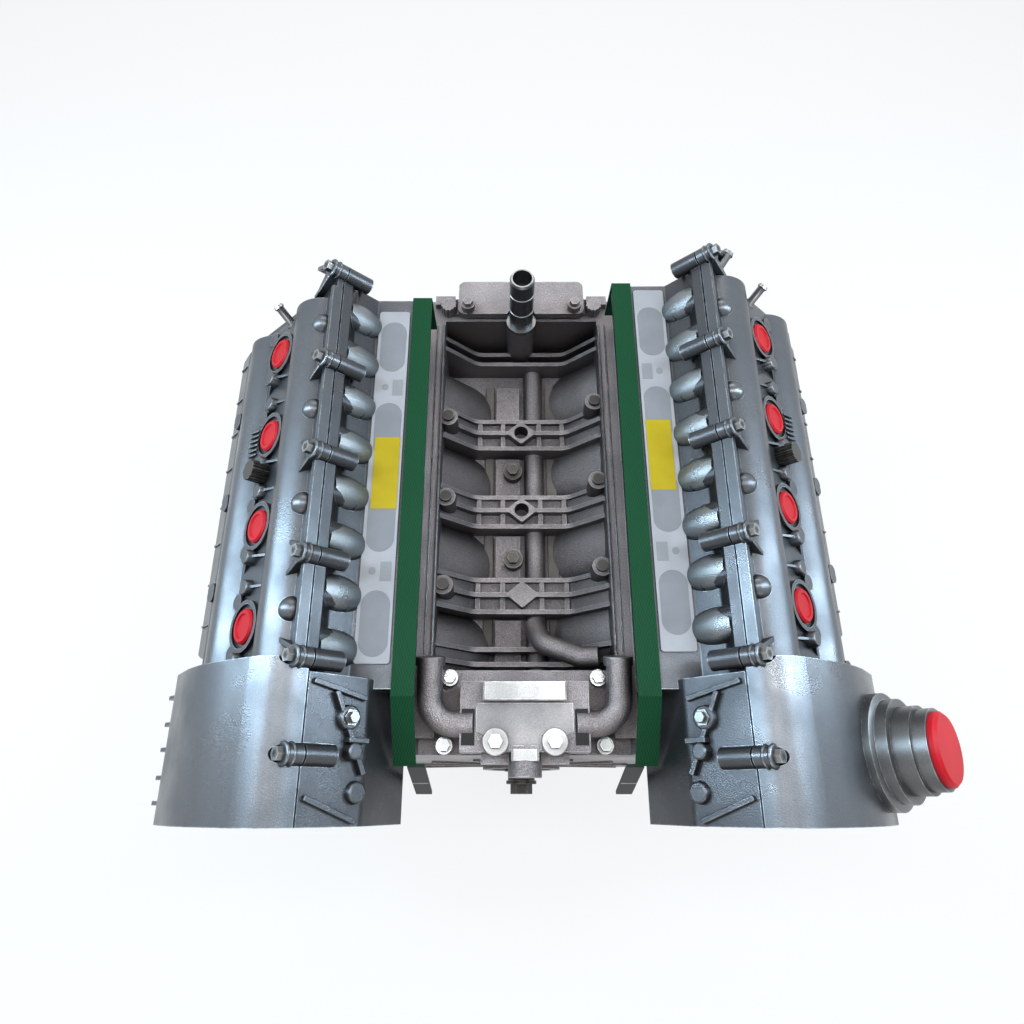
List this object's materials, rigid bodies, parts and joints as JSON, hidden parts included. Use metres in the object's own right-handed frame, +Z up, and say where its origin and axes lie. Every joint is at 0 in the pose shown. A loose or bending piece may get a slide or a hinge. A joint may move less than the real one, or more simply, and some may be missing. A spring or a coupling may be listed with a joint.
{
  "type": "v8 engine",
  "caption": "Ninety-degree V8 petrol engine as a dressed long block: ribbed open valley, twin-cam heads with cam covers, crank train, sump, transit plugs, port films and straps.",
  "frame": {"origin": "on the crankshaft axis, in the plane of the bell housing face at the rear of the block", "axes": "+Z up, +Y along the crankshaft towards the flexplate, so the timing end faces -Y; +X to the right as seen from the timing end"},
  "size_m": [0.7473, 0.608, 0.5543],
  "materials": {
    "cast_aluminium": "sand-cast, dull",
    "head_aluminium": "cast, bright",
    "cover_magnesium": "satin grey coat",
    "machined_steel": "machined",
    "dark_steel": "oiled",
    "zinc_bolt": "zinc plated",
    "cast_iron_liner": "honed",
    "bearing_metal": "plain",
    "piston_alloy": "machined",
    "gasket_steel": "coated sheet",
    "gasket_rubber": "moulded",
    "red_plastic": "moulded",
    "film": "translucent sheet",
    "green_webbing": "woven",
    "black_plastic": "moulded",
    "exhaust_iron": "scaled",
    "shield_sheet": "pressed sheet",
    "pump_alloy": "die-cast"
  },
  "bodies": {
    "engine": {"bedplate": "cast_aluminium", "cam_cover_bolts": "zinc_bolt", "cam_cover_gaskets": "gasket_rubber", "cam_cover_left": "cover_magnesium", "cam_cover_right": "cover_magnesium", "chain_guides": "black_plastic", "coil_well_plugs": "red_plastic", "coolant_manifold": "cast_aluminium", "crank_seals": "gasket_rubber", "cylinder_head_left": "head_aluminium", "cylinder_head_right": "head_aluminium", "cylinder_liners": "cast_iron_liner", "engine_block": "cast_aluminium", "exhaust_manifold_left": "exhaust_iron", "exhaust_manifold_right": "exhaust_iron", "exhaust_valves": "machined_steel", "head_gaskets": "gasket_steel", "heat_shields": "shield_sheet", "intake_gaskets": "gasket_rubber", "intake_valves": "machined_steel", "knock_sensors": "dark_steel", "main_bearings": "bearing_metal", "manifold_bolts": "zinc_bolt", "oil_drain_plug": "zinc_bolt", "oil_filler_neck": "pump_alloy", "oil_filler_plug": "red_plastic", "oil_pan": "cast_aluminium", "oil_pickup": "dark_steel", "oil_pump": "pump_alloy", "port_films": "film", "rear_coolant_plate": "cast_aluminium", "rear_hose_stub": "zinc_bolt", "spark_plugs": "zinc_bolt", "timing_chains": "dark_steel", "timing_cover": "cast_aluminium", "transport_straps": "green_webbing", "valley_pipe": "cast_aluminium"},
    "crank": {"crankshaft": "dark_steel", "crank_bolt": "dark_steel", "flexplate": "machined_steel"},
    "intake_cam_left": {"intake_camshaft_left": "dark_steel"},
    "exhaust_cam_left": {"exhaust_camshaft_left": "dark_steel"},
    "intake_cam_right": {"intake_camshaft_right": "dark_steel"},
    "exhaust_cam_right": {"exhaust_camshaft_right": "dark_steel"},
    "piston_1": {"piston_1": "piston_alloy"},
    "rod_1": {"connecting_rod_1": "dark_steel"},
    "piston_2": {"piston_2": "piston_alloy"},
    "rod_2": {"connecting_rod_2": "dark_steel"},
    "piston_3": {"piston_3": "piston_alloy"},
    "rod_3": {"connecting_rod_3": "dark_steel"},
    "piston_4": {"piston_4": "piston_alloy"},
    "rod_4": {"connecting_rod_4": "dark_steel"},
    "piston_5": {"piston_5": "piston_alloy"},
    "rod_5": {"connecting_rod_5": "dark_steel"},
    "piston_6": {"piston_6": "piston_alloy"},
    "rod_6": {"connecting_rod_6": "dark_steel"},
    "piston_7": {"piston_7": "piston_alloy"},
    "rod_7": {"connecting_rod_7": "dark_steel"},
    "piston_8": {"piston_8": "piston_alloy"},
    "rod_8": {"connecting_rod_8": "dark_steel"}
  },
  "joints": [
    {"name": "crank_spin", "type": "hinge", "parent": "engine", "child": "crank", "pos_m": [0, 0, 0], "axis": [0, 1, 0], "continuous": true, "deforming": ["timing_chains"]},
    {"name": "intake_cam_left_spin", "type": "hinge", "parent": "engine", "child": "intake_cam_left", "pos_m": [-0.21213, -0.3, 0.28284], "axis": [0, 1, 0], "continuous": true},
    {"name": "exhaust_cam_left_spin", "type": "hinge", "parent": "engine", "child": "exhaust_cam_left", "pos_m": [-0.28001, -0.3, 0.21496], "axis": [0, 1, 0], "continuous": true},
    {"name": "intake_cam_right_spin", "type": "hinge", "parent": "engine", "child": "intake_cam_right", "pos_m": [0.21213, -0.3, 0.28284], "axis": [0, 1, 0], "continuous": true},
    {"name": "exhaust_cam_right_spin", "type": "hinge", "parent": "engine", "child": "exhaust_cam_right", "pos_m": [0.28001, -0.3, 0.21496], "axis": [0, 1, 0], "continuous": true},
    {"name": "piston_1_stroke", "type": "slide", "parent": "engine", "child": "piston_1", "axis": [-0.7071, 0, 0.7071], "range_m": [-0.07576, 0.01724]},
    {"name": "rod_1_swing", "type": "hinge", "parent": "piston_1", "child": "rod_1", "pos_m": [-0.12746, -0.417, 0.12746], "axis": [0, 1, 0], "range_deg": [-5.36, 30.51], "deforming": ["connecting_rod_1"]},
    {"name": "piston_2_stroke", "type": "slide", "parent": "engine", "child": "piston_2", "axis": [-0.7071, 0, 0.7071], "range_m": [-0.01, 0.083]},
    {"name": "rod_2_swing", "type": "hinge", "parent": "piston_2", "child": "rod_2", "pos_m": [-0.08096, -0.317, 0.08096], "axis": [0, 1, 0], "range_deg": [-5.36, 30.51], "deforming": ["connecting_rod_2"]},
    {"name": "piston_3_stroke", "type": "slide", "parent": "engine", "child": "piston_3", "axis": [-0.7071, 0, 0.7071], "range_m": [-0.07576, 0.01724]},
    {"name": "rod_3_swing", "type": "hinge", "parent": "piston_3", "child": "rod_3", "pos_m": [-0.12746, -0.217, 0.12746], "axis": [0, 1, 0], "range_deg": [-30.51, 5.36], "deforming": ["connecting_rod_3"]},
    {"name": "piston_4_stroke", "type": "slide", "parent": "engine", "child": "piston_4", "axis": [-0.7071, 0, 0.7071], "range_m": [-0.01, 0.083]},
    {"name": "rod_4_swing", "type": "hinge", "parent": "piston_4", "child": "rod_4", "pos_m": [-0.08096, -0.117, 0.08096], "axis": [0, 1, 0], "range_deg": [-30.51, 5.36], "deforming": ["connecting_rod_4"]},
    {"name": "piston_5_stroke", "type": "slide", "parent": "engine", "child": "piston_5", "axis": [0.7071, 0, 0.7071], "range_m": [-0.07576, 0.01724]},
    {"name": "rod_5_swing", "type": "hinge", "parent": "piston_5", "child": "rod_5", "pos_m": [0.12746, -0.397, 0.12746], "axis": [0, 1, 0], "range_deg": [-30.51, 5.36], "deforming": ["connecting_rod_5"]},
    {"name": "piston_6_stroke", "type": "slide", "parent": "engine", "child": "piston_6", "axis": [0.7071, 0, 0.7071], "range_m": [-0.07576, 0.01724]},
    {"name": "rod_6_swing", "type": "hinge", "parent": "piston_6", "child": "rod_6", "pos_m": [0.12746, -0.297, 0.12746], "axis": [0, 1, 0], "range_deg": [-5.36, 30.51], "deforming": ["connecting_rod_6"]},
    {"name": "piston_7_stroke", "type": "slide", "parent": "engine", "child": "piston_7", "axis": [0.7071, 0, 0.7071], "range_m": [-0.01, 0.083]},
    {"name": "rod_7_swing", "type": "hinge", "parent": "piston_7", "child": "rod_7", "pos_m": [0.08096, -0.197, 0.08096], "axis": [0, 1, 0], "range_deg": [-30.51, 5.36], "deforming": ["connecting_rod_7"]},
    {"name": "piston_8_stroke", "type": "slide", "parent": "engine", "child": "piston_8", "axis": [0.7071, 0, 0.7071], "range_m": [-0.01, 0.083]},
    {"name": "rod_8_swing", "type": "hinge", "parent": "piston_8", "child": "rod_8", "pos_m": [0.08096, -0.097, 0.08096], "axis": [0, 1, 0], "range_deg": [-5.36, 30.51], "deforming": ["connecting_rod_8"]}
  ],
  "couplings": [
    {"joint": "intake_cam_left_spin", "follows": "crank_spin", "ratio": 0.5},
    {"joint": "exhaust_cam_left_spin", "follows": "crank_spin", "ratio": 0.5},
    {"joint": "intake_cam_right_spin", "follows": "crank_spin", "ratio": 0.5},
    {"joint": "exhaust_cam_right_spin", "follows": "crank_spin", "ratio": 0.5}
  ]
}
